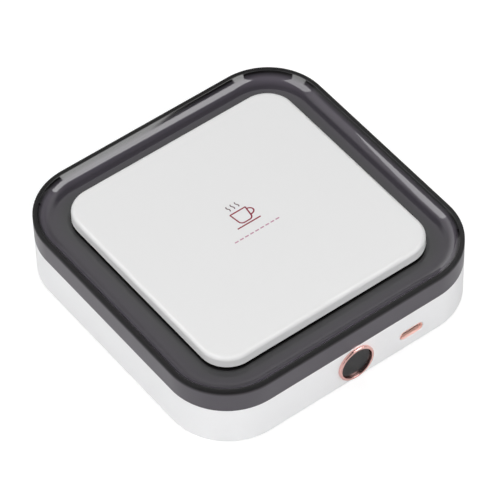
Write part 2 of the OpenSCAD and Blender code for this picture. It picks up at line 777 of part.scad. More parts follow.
module switch_body() {
    s = switch_size;
    color([0.15, 0.15, 0.15]) difference() {
        span([-s.x / 2, front_y + switch_at, board_top],
             [s.x / 2, front_y + switch_at + s.y, button_z + s.z / 2]);
        on_button_axis() translate([0, 0, switch_at - eps])
            cylinder(h = eps + button_travel + plunger_room, r = plunger_r + plunger_fit);
    }
}

module switch_plunger() {
    color([0.05, 0.05, 0.05]) on_button_axis() translate([0, 0, switch_at - plunger_len])
        cylinder(h = plunger_len + plunger_seat, r = plunger_r);
}

// ---- fasteners and feet ----

module case_screws() {
    color([0.78, 0.78, 0.8]) at_corners(post_xy) translate([0, 0, seat_z])
        screw(screw_head_r, screw_head_h, screw_d, screw_len);
}

// Rubber foot with a bevelled sole and a plug in the screw's counterbore.
module foot(sx, sy) {
    bevel = 0.5;
    color([0.16, 0.16, 0.17]) translate([sx * post_xy, sy * post_xy, 0]) {
        cylinder(h = bevel, r1 = foot_d / 2 - bevel, r2 = foot_d / 2);
        translate([0, 0, bevel]) cylinder(h = cover_z + foot_recess - bevel, d = foot_d);
        translate([0, 0, cover_z + foot_recess])
            cylinder(h = seat_z - screw_head_h - plug_gap - cover_z - foot_recess,
                     r = counterbore_r - plug_fit);
    }
}

module foot_front_left() { foot(-1, -1); }
module foot_front_right() { foot(1, -1); }
module foot_rear_left() { foot(-1, 1); }
module foot_rear_right() { foot(1, 1); }

base_shell();
bottom_cover();
smoke_tray();
heating_plate();
plate_gasket();
film_heater();
heater_track();
insulation_pad();
heater_bracket();
plate_screws();
thermistor();
thermal_fuse();
heater_leads();
sensor_leads();
circuit_board();
port_shell();
port_tongue();
microcontroller();
power_transistor();
filter_capacitor();
chip_resistors();
lead_connectors();
board_screws();
button_bezel();
button_cap();
switch_body();
switch_plunger();
case_screws();
foot_front_left();
foot_front_right();
foot_rear_left();
foot_rear_right();
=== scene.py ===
"""Electric mug warmer: new surfaces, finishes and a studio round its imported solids.

The housing is a rounded square. Its walls, rim, moat and heated plate are sections carried
round that square, and the button, its ring and the feet are sections turned about an axis.
Lengths are in metres, +Z is up and -Y is the front.
"""

import math

import bmesh
import bpy
import numpy as np
from bpy.props import FloatProperty, FloatVectorProperty, IntProperty, PointerProperty
from mathutils import Matrix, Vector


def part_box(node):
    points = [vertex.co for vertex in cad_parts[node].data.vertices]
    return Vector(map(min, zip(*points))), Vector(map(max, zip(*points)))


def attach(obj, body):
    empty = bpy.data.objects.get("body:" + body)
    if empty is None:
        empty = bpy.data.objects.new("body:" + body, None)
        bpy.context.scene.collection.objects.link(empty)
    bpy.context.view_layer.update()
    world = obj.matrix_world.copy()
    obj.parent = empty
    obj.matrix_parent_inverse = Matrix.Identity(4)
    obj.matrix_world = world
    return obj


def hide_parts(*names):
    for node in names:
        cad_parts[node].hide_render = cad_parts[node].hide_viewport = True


bl_info = {
    "name": "Mug Warmer",
    "version": (1, 0, 0),
    "blender": (4, 5, 0),
    "location": "View3D > Sidebar > Mug Warmer",
    "description": "Builds the surfaces, finishes and studio of an electric mug warmer",
    "category": "Add Mesh",
}

MM = 0.001
EASE = 0.03 * MM        # distance of a section's support point from the end of a straight stretch
SAME = 0.0001 * MM      # points closer than this are one
SHARP = math.radians(35)
FIT = 0.15 * MM         # gap between pieces that sit in one another

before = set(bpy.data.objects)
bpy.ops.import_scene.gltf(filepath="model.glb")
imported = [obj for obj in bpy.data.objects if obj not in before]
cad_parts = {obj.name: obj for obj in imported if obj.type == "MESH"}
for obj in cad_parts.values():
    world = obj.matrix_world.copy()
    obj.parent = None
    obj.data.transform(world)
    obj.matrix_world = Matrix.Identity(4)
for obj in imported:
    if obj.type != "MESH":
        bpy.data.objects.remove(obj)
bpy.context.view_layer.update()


class Box:
    """Lowest and highest corner, middle and size of a solid."""

    def __init__(self, node):
        self.low, self.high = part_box(node)
        self.mid = (self.low + self.high) / 2
        self.size = self.high - self.low


BASE, TRAY, PLATE, SEAL = map(Box, ("base_shell", "smoke_tray", "heating_plate", "plate_gasket"))
RING, CAP, PORT, TONGUE = map(Box, ("button_bezel", "button_cap", "port_shell", "port_tongue"))
FEET = {node: Box(node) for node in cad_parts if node.startswith("foot_")}


# ---- settings ----

def length(name, description, millimetres, low=0.0, high=1.0):
    """A size for a settings group, written in millimetres."""
    return FloatProperty(name=name, description=description, default=millimetres * MM, min=low,
                         max=high, unit="LENGTH", subtype="DISTANCE", precision=5)


def angle(name, description, degrees):
    """An angle for a settings group, written in degrees."""
    default = math.radians(degrees)
    return FloatProperty(name=name, description=description, default=default, subtype="ANGLE")


def brightness(name, source, level):
    """The brightness of a light source for a settings group."""
    return FloatProperty(name=name, description="Brightness of " + source, default=level, min=0.0)


def colour(name, description, default):
    """A linear colour for a settings group."""
    return FloatVectorProperty(name=name, description=description, default=default, min=0.0,
                               max=1.0, size=3, subtype="COLOR")


class WarmerBodySettings(bpy.types.PropertyGroup):
    """Sizes of the white base shell and the smoked tray."""

    half: length("Half width", "Half the width of the square body", BASE.high.x / MM)
    corner: length("Corner radius", "Corner radius seen from above", 21.6)
    wall: length("Wall", "Thickness of the walls", 2.4)
    low_edge: length("Lower edge", "Rounding of the base shell's lower edge", 0.6)
    seam: length("Seam", "Rounding of the two edges that meet between base and tray", 0.15)
    tongue: length("Tongue", "Height of the base shell's tongue", 1.6)
    tongue_wall: length("Tongue wall", "Thickness of the tongue", 1.2)
    ledge: length("Ledge", "Width of the ledge over the bottom cover", 1.6)
    rim: length("Rim", "Width of the tray's round rim", 1.6)
    floor: length("Floor", "Thickness of the moat's floor", 2.0)
    bend: length("Moat bend", "Radius between the moat's floor and its side", 5.2)
    slope: angle("Moat slope", "Slope of the moat's side, up from level", 55)
    opening: length("Opening", "Half width of the tray's opening under the plate", 39)


class WarmerPlateSettings(bpy.types.PropertyGroup):
    """Sizes of the heated plate and its seal."""

    half: length("Half width", "Half the width of the plate", PLATE.high.x / MM)
    corner: length("Corner radius", "Corner radius of the plate", 10)
    edge: length("Edge", "Rounding of the plate's upper edge", 1.4)
    low_edge: length("Lower edge", "Rounding of the skirt's lower edge", 0.2)
    skirt: length("Skirt", "Thickness of the plate's skirt", 2.4)
    wall: length("Wall", "Thickness of the plate's top", 2.2)
    seal: length("Seal", "Height of the black seal under the skirt", 0.8)
    seal_width: length("Seal width", "Width of the seal", 2.9)


class WarmerButtonSettings(bpy.types.PropertyGroup):
    """Sizes of the push button and its ring."""

    ring: length("Ring width", "Width of the ring round the button", 0.86)
    bead: length("Ring bead", "Rounding of the ring's outer edge", 0.3)
    lip: length("Ring lip", "Rounding of the ring's inner edge", 0.1)
    sleeve: length("Sleeve", "Wall of the sleeve that carries the ring", 0.41)
    cap: length("Cap radius", "Radius of the button's face", 5.8)
    cap_edge: length("Cap edge", "Rounding of the button's face", 0.2)
    dish: length("Dish", "Depth of the hollow in the button's face", 0.12)


class WarmerPrintSettings(bpy.types.PropertyGroup):
    """Sizes of the sign printed on the plate."""

    stroke: length("Stroke", "Width of the sign's lines", 0.48)
    film: length("Film", "Thickness of the printed film", 0.012)
    dash: length("Dash", "Length of one dash under the sign", 1.5)
    dash_gap: length("Dash gap", "Gap between the dashes", 0.51)
    dashes: IntProperty(name="Dashes", description="How many dashes stand in the row",
                        default=9, min=1, max=30)


class WarmerFinishSettings(bpy.types.PropertyGroup):
    """Colours of the finishes."""

    white: colour("White plastic", "Base shell and bottom cover", (0.83, 0.83, 0.84))
    smoke: colour("Smoked plastic", "Tray where its wall is backed", (0.068, 0.061, 0.074))
    # Painted shade: near-black colour laid on the tray's free rim and in a band beside the plate
    smoke_painted_shade: colour("Smoke painted shade", "Painted shade on the tray's rim and beside the plate", (0.005, 0.0045, 0.005))
    # Painted shade: darker, less violet colour of the moat towards the plate
    moat_painted_shade: colour("Moat painted shade", "Painted shade of the moat beside the plate", (0.046, 0.046, 0.048))
    enamel: colour("Enamel", "Heated plate", (0.82, 0.82, 0.82))
    seal: colour("Seal", "Silicone seal under the plate", (0.012, 0.013, 0.012))
    rose: colour("Rose gold", "Button ring and power inlet", (0.90, 0.54, 0.50))
    # Painted light: a paler, pinker copy of the rose gold that stands in for light on the inlet's inner
    # wall
    rose_inlet_painted_light: colour("Rose gold inlet painted light", "Drawn shell of the inlet, painted paler to stand in for light", (1.00, 0.60, 0.52))
    black: colour("Black plastic", "Button face", (0.030, 0.030, 0.031))
    sign: colour("Sign", "Cup and saucer of the printed sign", (0.27, 0.002, 0.030))
    steam: colour("Steam", "Steam of the printed sign", (0.15, 0.08, 0.10))
    dashes: colour("Dashes", "Row of dashes under the sign", (0.55, 0.28, 0.38))


class WarmerStudioSettings(bpy.types.PropertyGroup):
    """Camera and light of the studio."""

    lens: FloatProperty(name="Lens", description="Focal length on a 36 mm sensor",
                        default=261.46, unit="CAMERA")
    azimuth: angle("Azimuth", "Camera's turn about the vertical", -35.997)
    elevation: angle("Elevation", "Camera's height over the table", 49.092)
    roll: angle("Roll", "Camera's turn about its own axis", -1.705)
    distance: length("Distance", "From the camera to the middle of the base", 1166.2, 0, 10)
    shift_right: length("Shift right", "Camera moved to its right", 0.28, -1)
    shift_up: length("Shift up", "Camera moved up", 7.56, -1)
    softbox_left: brightness("Left softbox", "the left softbox, which gloss shows", 4.7)
    softbox_right: brightness("Right softbox", "the right softbox, which gloss shows", 6.3)
    key_left: brightness("Left key", "the left key lamp", 3.39)
    key_front: brightness("Front key", "the front key lamp", 3.95)
    key_back: brightness("Back key", "the high lamp behind the warmer", 2.06)
    ambient: brightness("Ambient", "the surroundings", 0.05)
    fill: brightness("Fill", "the reflector in front", 0.1)
    backdrop: brightness("Backdrop", "the low backdrop on the left, as gloss shows it", 1.7)


class WarmerSettings(bpy.types.PropertyGroup):
    """All settings of the mug warmer."""

    body: PointerProperty(type=WarmerBodySettings)
    plate: PointerProperty(type=WarmerPlateSettings)
    button: PointerProperty(type=WarmerButtonSettings)
    sign: PointerProperty(type=WarmerPrintSettings)
    finish: PointerProperty(type=WarmerFinishSettings)
    studio: PointerProperty(type=WarmerStudioSettings)


# ---- sections and outlines ----

def line(start, end):
    """Straight stretch from start to end, with a support point close to each end."""
    ease = min(EASE / max(np.linalg.norm(end - start), SAME), 0.3)
    return start + (end - start) * np.array([0, ease, 1 - ease, 1])[:, None]


def circle(a):
    """Unit directions (cos a, sin a)."""
    return np.stack([np.cos(a), np.sin(a)], 1)


def arc(centre, radius, first, last, steps=10):
    """Round stretch: centre + radius (cos a, sin a), with a even from first to last degrees."""
    return np.array(centre, float) + radius * circle(np.radians(np.linspace(first, last, steps + 1)))


def section(*parts, closed=False):
    """Joins corners and round stretches by straight ones, back to the start if it is closed,
    and leaves out each point that repeats the one before."""
    parts = [np.atleast_2d(np.array(part, float)) for part in parts]
    if closed:
        parts.append(parts[0][:1])
    straight = [line(a[-1], b[0]) for a, b in zip(parts[:-1], parts[1:])]
    points = np.concatenate([parts[0], *(row for pair in zip(straight, parts[1:]) for row in pair)])
    keep = np.linalg.norm(points - np.roll(points, 1, axis=0), axis=1) > SAME
    keep[0] |= not closed
    return points[keep]


def rounded(run, rise, radius, first, shares, steps, quarters):
    """Outline as points and outward directions: the arc about (run, rise) from the angle first
    to 90 degrees and the straight side that follows it, repeated at the given quarter turns."""
    around = circle(np.radians(np.linspace(first, 90, steps + 1)))
    share = np.array([EASE / run, *shares, 1 - EASE / run])
    side = np.stack([run * (1 - 2 * share), np.full(len(share), rise + radius)], 1)
    points = np.concatenate([[run, rise] + radius * around, side])
    outward = np.concatenate([around, np.tile([0.0, 1.0], (len(share), 1))])
    turns = [np.linalg.matrix_power(np.array([[0, 1], [-1, 0]]), k) for k in quarters]
    return [np.concatenate([part @ turn for turn in turns]) for part in (points, outward)]


def square_outline(sizes):
    """Rounded square of a body's or a plate's sizes, anticlockwise."""
    run = sizes.half - sizes.corner
    return rounded(run, run, sizes.corner, 0, (0.12, 0.3, 0.5, 0.7, 0.88), 24, range(4))


def slot_outline(width, height):
    """Slot with round ends, anticlockwise."""
    return rounded((width - height) / 2, 0, height / 2, -90, (0.5,), 16, (0, 2))


def lifted(flat, height):
    """Grid of plane points with their heights."""
    return np.concatenate([flat, np.broadcast_to(height, flat.shape[:2])[..., None]], 2)


def sweep(outline, points):
    """Carries a section round an outline: point (u, z) lies u inside the outline, at height z."""
    edge, outward = outline
    return lifted(edge[:, None] - points[:, :1] * outward[:, None], points[:, 1])


def turn(points, steps=96):
    """Turns a section about the vertical axis: point (r, z) goes round at radius r."""
    radius = points[:, 0].max()
    around = circle(np.linspace(0, 2 * np.pi, steps, endpoint=False))
    return sweep((radius * around, around), np.stack([radius - points[:, 0], points[:, 1]], 1))


def shrink(ring, shares, height):
    """Rings drawn in towards the middle of a rounded square: share times the ring."""
    return lifted(ring[:, None, :2] * np.array(shares)[:, None], height)


def into_wall(grid, box):
    """Lays a shape's own axis along +Y, into the front wall, through the middle of a box."""
    return np.stack([box.mid.x + grid[..., 0], grid[..., 2], box.mid.z + grid[..., 1]], -1)


def walked(path):
    """Distance along a path up to each of its points."""
    return np.append(0, np.cumsum(np.linalg.norm(np.diff(path, axis=0), axis=1)))


def walk(points, step):
    """Puts points along a polyline at an even distance of about step."""
    points = np.array(points, float)
    at = walked(points)
    even = np.linspace(0, at[-1], max(int(at[-1] / step), 2) + 1)
    return np.stack([np.interp(even, at, points[:, k]) for k in (0, 1)], 1)


# ---- meshes ----

def shell(grid, closed=False, ring=True):
    """Points and quads of a closed surface from a grid of points: its sections are closed, or
    meet at the middle, and they form a ring, or shrink to a line at both ends. It is turned
    so that the signed volume under its faces is positive."""
    rows, columns = grid.shape[:2]
    i = np.arange(rows if ring else rows - 1)[:, None]
    j = np.arange(columns if closed else columns - 1)[None, :]
    i_next, j_next = (i + 1) % rows, (j + 1) % columns
    quads = np.stack([i * columns + j, i_next * columns + j, i_next * columns + j_next,
                      i * columns + j_next], -1).reshape(-1, 4)
    points = grid.reshape(-1, 3)
    a, b, c, d = (points[quads[:, k]] for k in range(4))
    volume = np.sum(a * (np.cross(b, c) + np.cross(c, d)))
    return points, quads if volume > 0 else quads[:, ::-1]


def new_mesh(name, shells):
    """One mesh of several shells, with rows that shrink to a point merged."""
    first = np.cumsum([0] + [len(points) for points, _ in shells[:-1]])
    points = np.concatenate([p for p, _ in shells])
    quads = np.concatenate([q + k for (_, q), k in zip(shells, first)])
    mesh = bpy.data.meshes.new(name)
    mesh.from_pydata(points.tolist(), [], quads.tolist())
    joined = bmesh.new()
    joined.from_mesh(mesh)
    bmesh.ops.remove_doubles(joined, verts=joined.verts, dist=SAME)
    bmesh.ops.dissolve_degenerate(joined, edges=joined.edges, dist=SAME)
    open_edges = sum(not edge.is_manifold for edge in joined.edges)
    joined.to_mesh(mesh)
    joined.free()
    if open_edges:
        raise RuntimeError(f"{name}: {open_edges} edges are open")
    return mesh


def smooth(mesh):
    """Shades a mesh smooth, apart from its sharp edges."""
    mesh.polygons.foreach_set("use_smooth", np.ones(len(mesh.polygons), bool))
    mesh.set_sharp_from_angle(angle=SHARP)


def new_object(name, data):
    """Links a new object into the scene."""
    made = bpy.data.objects.new(name, data)
    bpy.context.scene.collection.objects.link(made)
    return made


def add_piece(name, shells, material, replaced=(), body="housing"):
    """Makes a piece from shells, gives it a finish and lets it ride on a body."""
    mesh = new_mesh(name, shells)
    smooth(mesh)
    mesh.materials.append(material)
    piece = new_object(name, mesh)
    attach(piece, body)
    if replaced:
        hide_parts(*replaced)
    return piece


def cut(piece, cutters):
    """Takes closed shapes out of a piece and keeps the result as its mesh."""
    for shape in cutters:
        cutter = new_object("cutter", new_mesh("cutter", [shape]))
        modifier = piece.modifiers.new("cut", "BOOLEAN")
        modifier.operation, modifier.solver, modifier.object = "DIFFERENCE", "EXACT", cutter
        bpy.context.view_layer.update()
        seen = piece.evaluated_get(bpy.context.evaluated_depsgraph_get())
        before = piece.data
        piece.data = bpy.data.meshes.new_from_object(seen)
        piece.modifiers.clear()
        bpy.data.meshes.remove(before)
        bpy.data.objects.remove(cutter)
    if not piece.data.polygons:
        raise RuntimeError(f"{piece.name}: the cut left nothing")
    smooth(piece.data)


# ---- finishes ----

class Nodes:
    """A node tree with short ways to add to it. Each input is a value or a socket to link."""

    def __init__(self, tree):
        self.tree = tree

    def feed(self, socket, value):
        """Links a socket or sets its own value; a colour is made opaque."""
        if isinstance(value, bpy.types.NodeSocket):
            self.tree.links.new(value, socket)
        else:
            socket.default_value = (*value, 1) if socket.type == "RGBA" else value

    def add(self, kind, inputs=(), **properties):
        """Adds a node with these inputs and properties, and returns its outputs."""
        node = self.tree.nodes.new("ShaderNode" + kind)
        for key, value in properties.items():
            setattr(node, key, value)
        for key, value in dict(inputs).items():
            self.feed(node.inputs[key], value)
        return node.outputs

    def math(self, operation, *values):
        """Number worked out from one or two others."""
        return self.add("Math", enumerate(values), operation=operation)["Value"]

    def vector(self, operation, *values):
        """Vector worked out from one or two others; a dot product or a length is a number."""
        outputs = self.add("VectorMath", enumerate(values), operation=operation)
        return outputs["Value" if operation in ("DOT_PRODUCT", "LENGTH") else "Vector"]

    def mix(self, factor, first, second):
        """Number between first and second."""
        return self.add("Mix", {"Factor": factor, 2: first, 3: second})[0]

    def blend(self, factor, first, second):
        """Colour between first and second."""
        return self.add("Mix", {"Factor": factor, 6: first, 7: second}, data_type="RGBA")[2]

    def between(self, value, low, high, first=0.0, last=1.0, **properties):
        """Maps a value from low and high to first and last, without going past them."""
        return self.add("MapRange", {"Value": value, "From Min": low, "From Max": high,
                                     "To Min": first, "To Max": last}, **properties)["Result"]

    def noise(self, point, scale, detail=2.0, roughness=0.5):
        """Noise as a number."""
        return self.add("TexNoise", {"Vector": point, "Scale": scale, "Detail": detail,
                                     "Roughness": roughness})["Fac"]


def moulded_skin(nodes, start):
    """Slow ripples of a moulding with fine grain on them, and a slow tone."""
    point = start["Point"]
    ripple, grain = nodes.noise(point, start["Ripple"], 1.0), nodes.noise(point, start["Grain"], 3.0)
    return {"Height": nodes.mix(start["Grain share"], ripple, grain),
            "Tone": nodes.noise(point, 25.0)}


def handling(nodes, start):
    """Soft smudges where fingers rub."""
    cloud = nodes.noise(start["Point"], 45.0, 4.0, 0.6)
    return {"Smudge": nodes.between(cloud, 0.45, 0.75, interpolation_type="SMOOTHSTEP")}


def metal_lines(nodes, start):
    """Noise stretched along one axis into fine lines, and a slow tone."""
    stretched = nodes.vector("MULTIPLY", start["Point"], start["Stretch"])
    return {"Height": nodes.noise(stretched, 1.0, 3.0), "Tone": nodes.noise(start["Point"], 160.0)}


def inset(nodes, start):
    """How far a point lies inside a rounded square. With q the part of |x|, |y| past the
    corners' centres, it is r - |max(q, 0)| at the corners and along the sides."""
    run = nodes.math("SUBTRACT", start["Half"], start["Corner"])
    centre = nodes.add("CombineXYZ", {"X": run, "Y": run})["Vector"]
    flat = nodes.vector("MULTIPLY", start["Point"], (1.0, 1.0, 0.0))
    past = nodes.vector("SUBTRACT", nodes.vector("ABSOLUTE", flat), centre)
    reach = nodes.vector("LENGTH", nodes.vector("MAXIMUM", past, (0.0, 0.0, 0.0)))
    return {"Inset": nodes.math("SUBTRACT", start["Corner"], reach)}


GROUPS = {      # maker and inputs of each shader group
    "Moulded skin": (moulded_skin, {"Ripple": 60.0, "Grain": 2500.0, "Grain share": 0.3}),
    "Handling": (handling, {}),
    "Metal lines": (metal_lines, {"Stretch": (30.0, 1500.0, 1500.0)}),
    "Inset": (inset, {"Half": 0.055, "Corner": 0.02}),
}


def new_group(name):
    """Builds a shader group, which takes the point on the object and gives numbers."""
    make, inputs = GROUPS[name]
    tree = bpy.data.node_groups.new(name, "ShaderNodeTree")
    for label, value in {"Point": (0.0, 0.0, 0.0), **inputs}.items():
        kind = "NodeSocketVector" if isinstance(value, tuple) else "NodeSocketFloat"
        socket = tree.interface.new_socket(label, in_out="INPUT", socket_type=kind)
        socket.default_value = value
    results = make(Nodes(tree), tree.nodes.new("NodeGroupInput").outputs)
    for label in results:
        tree.interface.new_socket(label, in_out="OUTPUT", socket_type="NodeSocketFloat")
    end = tree.nodes.new("NodeGroupOutput")
    for label, source in results.items():
        tree.links.new(source, end.inputs[label])
    return tree


def new_nodes(kind, name):
    """A new material or world with an empty node tree."""
    made = kind.new(name)
    made.use_nodes = True
    made.node_tree.nodes.clear()
    return made, Nodes(made.node_tree)


class Finish(Nodes):
    """Material with one Principled shader, fed from the point on the object."""

    def __init__(self, name, **sockets):
        self.material = bpy.data.materials.new(name)
        self.material.use_nodes = True
        super().__init__(self.material.node_tree)
        self.shader = self.tree.nodes["Principled BSDF"].inputs
        for key, value in sockets.items():
            self.shader[key.replace("_", " ")].default_value = value
        self.point = self.add("TexCoord")["Object"]

    def use(self, name, **values):
        """Places a shader group and returns its outputs."""
        node = self.tree.nodes.new("ShaderNodeGroup")
        node.node_tree = bpy.data.node_groups.get(name) or new_group(name)
        self.tree.links.new(self.point, node.inputs["Point"])
        for key, value in values.items():
            node.inputs[key.replace("_", " ")].default_value = value
        return node.outputs

    def dress(self, base, roughness, height, strength, depth):
        """Feeds colour, roughness and a bump of that depth in metres; returns the material."""
        bump = self.add("Bump", {"Height": height, "Strength": strength, "Distance": depth})
        for key, value in (("Base Color", base), ("Roughness", roughness), ("Normal", bump["Normal"])):
            self.feed(self.shader[key], value)
        return self.material


def shade(base, factor):
    """A colour made lighter or darker by a factor."""
    return tuple(min(channel * factor, 1.0) for channel in base)


def moulded(name, base, roughness, spread=0.06, grain=2500.0, share=0.3, depth=0.01 * MM,
            strength=0.3, tone=0.93, **sockets):
    """Moulded plastic, rubber or enamel: slow tone, smudged gloss and a fine skin."""
    finish = Finish(name, **sockets)
    skin = finish.use("Moulded skin", Grain=grain, Grain_share=share)
    marks = finish.use("Handling")
    return finish.dress(finish.blend(skin["Tone"], shade(base, tone), base),
                        finish.between(marks["Smudge"], 0, 1, roughness, roughness + spread),
                        skin["Height"], strength, depth)


def metal(name, base, roughness, stretch=(40.0, 1500.0, 1500.0), spread=0.1, tone=0.85,
          strength=0.2, depth=0.004 * MM, metallic=1.0):
    """Metal with drawn lines and a slow change of tone."""
    finish = Finish(name, Metallic=metallic)
    lines = finish.use("Metal lines", Stretch=stretch)
    return finish.dress(finish.blend(lines["Tone"], shade(base, tone), base),
                        finish.between(lines["Height"], 0.3, 0.7, roughness, roughness + spread),
                        lines["Height"], strength, depth)


def smoked_plastic(colours, body):
    """Smoked plastic, polished in the moat, satin on the wall and dull on the rim's shoulder.
    Its colour is painted with light and shade: painted shade darkens it with height towards
    the free rim, a painted highlight makes it paler on the moat's side, and painted shade makes
    it darker and less violet with the inset towards the plate, with a painted shadow beside it."""
    rim_shade_low, rim_shade_high = TRAY.high.z - 2.3 * MM, TRAY.high.z - 0.9 * MM
    dull_low, dull_high = TRAY.high.z - 2.2 * MM, TRAY.high.z - 1.0 * MM
    smoke, rim = colours.smoke, body.rim
    finish = Finish("Smoked plastic", IOR=1.5, Coat_Weight=0.0)
    blend, between = finish.blend, finish.between
    height = finish.add("SeparateXYZ", {"Vector": finish.point})["Z"]
    inside = finish.use("Inset", Half=body.half, Corner=body.corner)["Inset"]
    skin = finish.use("Moulded skin", Ripple=40.0, Grain=900.0, Grain_share=0.1)
    marks = finish.use("Handling")
    wall = blend(skin["Tone"], shade(smoke, 0.92), smoke)
    # Painted highlight: the moat's side starts paler than the smoke, standing in for reflected light
    moat = shade(smoke, 1.4)
    for start, end, shade_further_in in (         # insets in millimetres over which it changes
            (3.4, 5.2, shade(smoke, 0.74)),
            # Painted shade: the moat turns darker and greyer towards the plate
            (7.0, 10.5, colours.moat_painted_shade),
            # Painted shadow: a near-black band beside the plate, under its edge
            (10.7, 12.1, colours.smoke_painted_shade)):
        moat = blend(between(inside, start * MM, end * MM), moat, shade_further_in)
    wall_or_painted_moat = blend(between(inside, 0.8 * rim, rim), wall, moat)
    # Painted shade: the colour falls to near black with height towards the free rim
    base = blend(between(height, rim_shade_low, rim_shade_high), wall_or_painted_moat, colours.smoke_painted_shade)
    gloss = finish.mix(between(inside, 0.85 * rim, rim),
                       between(height, dull_low, dull_high, 0.30, 1.0),
                       between(marks["Smudge"], 0, 1, 0.035, 0.06))
    return finish.dress(base, gloss, skin["Height"], 0.05, 0.01 * MM)


def insulation_felt():
    """Pressed fibre mat: crossed fibres from two stretched noises over a mottled cream."""
    finish = Finish("Insulation felt", Sheen_Weight=0.3)
    along = finish.use("Metal lines", Stretch=(250.0, 2600.0, 1200.0))["Height"]
    over = finish.use("Metal lines", Stretch=(2600.0, 250.0, 1200.0))["Height"]
    fibres = finish.math("MAXIMUM", along, over)
    return finish.dress(finish.blend(fibres, (0.52, 0.46, 0.36), (0.80, 0.75, 0.64)), 0.95,
                        fibres, 0.8, 0.15 * MM)


def board_laminate():
    """Green solder mask with paler tracks: thin bands of a brick pattern, and pad dots."""
    finish = Finish("Board laminate")
    tracks = finish.add("TexBrick", {"Vector": finish.point, "Scale": 260.0, "Mortar Size": 0.03})
    dots = finish.add("TexVoronoi", {"Vector": finish.point, "Scale": 330.0, "Randomness": 0.3})
    pads = finish.between(dots["Distance"], 0.14, 0.18, 1.0, 0.0)
    mask = finish.blend(tracks["Fac"], (0.008, 0.10, 0.035), (0.02, 0.22, 0.08))
    return finish.dress(finish.blend(pads, mask, (0.62, 0.60, 0.52)), 0.35,
                        tracks["Fac"], 0.4, 0.02 * MM)


def polyimide_film():
    """Amber film that shows a faint weave of its filler and darker bands over the foil."""
    finish = Finish("Polyimide film", IOR=1.6)
    bands = finish.add("TexWave", {"Vector": finish.point, "Scale": 40.0, "Distortion": 0.4})
    skin = finish.use("Moulded skin", Grain=1800.0, Grain_share=0.5)
    return finish.dress(finish.blend(bands["Fac"], (0.36, 0.13, 0.02), (0.60, 0.27, 0.05)), 0.22,
                        skin["Height"], 0.3, 0.01 * MM)


def zinc_steel():
    """Zinc-plated sheet: spangle cells in two greys over fine lines."""
    finish = Finish("Zinc steel", Metallic=1.0)
    cells = finish.add("TexVoronoi", {"Vector": finish.point, "Scale": 450.0})
    spangle = finish.add("SeparateColor", {"Color": cells["Color"]})["Red"]
    lines = finish.use("Metal lines", Stretch=(60.0, 1800.0, 1800.0))
    return finish.dress(finish.blend(spangle, (0.50, 0.51, 0.53), (0.68, 0.69, 0.71)),
                        finish.between(spangle, 0, 1, 0.28, 0.42), lines["Height"], 0.2, 0.004 * MM)


# ---- pieces ----

class Step:
    """What all operators share."""

    bl_options = {"REGISTER", "UNDO"}


def wall_bore(body, button):
    """Cylinder through the front wall for the ring's sleeve."""
    play, reach = 0.05 * MM, 1 * MM
    radius = RING.size.x / 2 - button.ring + button.sleeve + play
    low, high = -body.half - reach, body.wall - body.half + 3 * reach
    return shell(into_wall(turn(section((0, low), (radius, low), (radius, high), (0, high))), RING))


def wall_slot():
    """Slot through the front wall for the inlet, with a small chamfer at its mouth."""
    bevel, reach, face = 0.2 * MM, 5 * MM, -BASE.high.x
    width, height = PORT.size.x + 2 * FIT, PORT.size.z + 2 * FIT
    points = section((height / 2, face - bevel), (-2 * bevel, face - bevel), (0, face + bevel),
                     (0, face + reach), (height / 2, face + reach))
    return shell(into_wall(sweep(slot_outline(width, height), points), PORT))


class WARMER_OT_base_shell(Step, bpy.types.Operator):
    """White base shell: wall section with ledge and tongue carried round the rounded square,
    with a bore for the button's sleeve and a slot for the power inlet"""

    bl_idname = "mug_warmer.base_shell"
    bl_label = "Base shell"

    def execute(self, context):
        settings = context.scene.mug_warmer
        body = settings.body
        board_lift, ledge_face = 1.5 * MM, 1 * MM
        low, high, edge, seam, wall = BASE.low.z, BASE.high.z, body.low_edge, body.seam, body.wall
        seam_z, tongue = high - body.tongue, wall - body.tongue_wall
        ledge_low, ledge = Box("circuit_board").low.z - board_lift, wall + body.ledge
        ledge_top = ledge_low + ledge_face
        points = section(
            arc((edge, low + edge), edge, 180, 270), (wall, low), (wall, ledge_low),
            (ledge, ledge_low), (ledge, ledge_top), (wall, ledge_top + body.ledge), (wall, high),
            (tongue, high), (tongue, seam_z), arc((seam, seam_z - seam), seam, 90, 180, 4),
            closed=True)
        white = moulded("White plastic", settings.finish.white, 0.3, spread=0.02, grain=1800.0,
                        share=0.2, strength=0.12, tone=0.985)
        piece = add_piece("white_base", [shell(sweep(square_outline(body), points), closed=True)],
                          white, ["base_shell"])
        cut(piece, [wall_bore(body, settings.button), wall_slot()])
        return {"FINISHED"}


def moat(body, rim_at, floor):
    """Rounds of the rim and of the moat's bend. The side between them faces n = (sin slope,
    cos slope); it touches the rim's round at rim_at + rim_r n and the bend's at bend_at - bend n."""
    slope = math.degrees(body.slope)
    normal = np.array([math.sin(body.slope), math.cos(body.slope)])
    top = rim_at + body.rim / 2 * normal
    rise = top[1] - floor - body.bend * (1 - normal[1])
    bend_at = top + rise * np.array([1 / math.tan(body.slope), -1]) + body.bend * normal
    return (arc(rim_at, body.rim / 2, 180, 90 - slope, 20),
            arc(bend_at, body.bend, 270 - slope, 270, 20))


def posts(at, *points):
    """Shells of a turned section at the four places (+-at, +-at)."""
    post = turn(section(*points), 32)
    return [shell(post + np.array([x, y, 0])) for x in (-at, at) for y in (-at, at)]


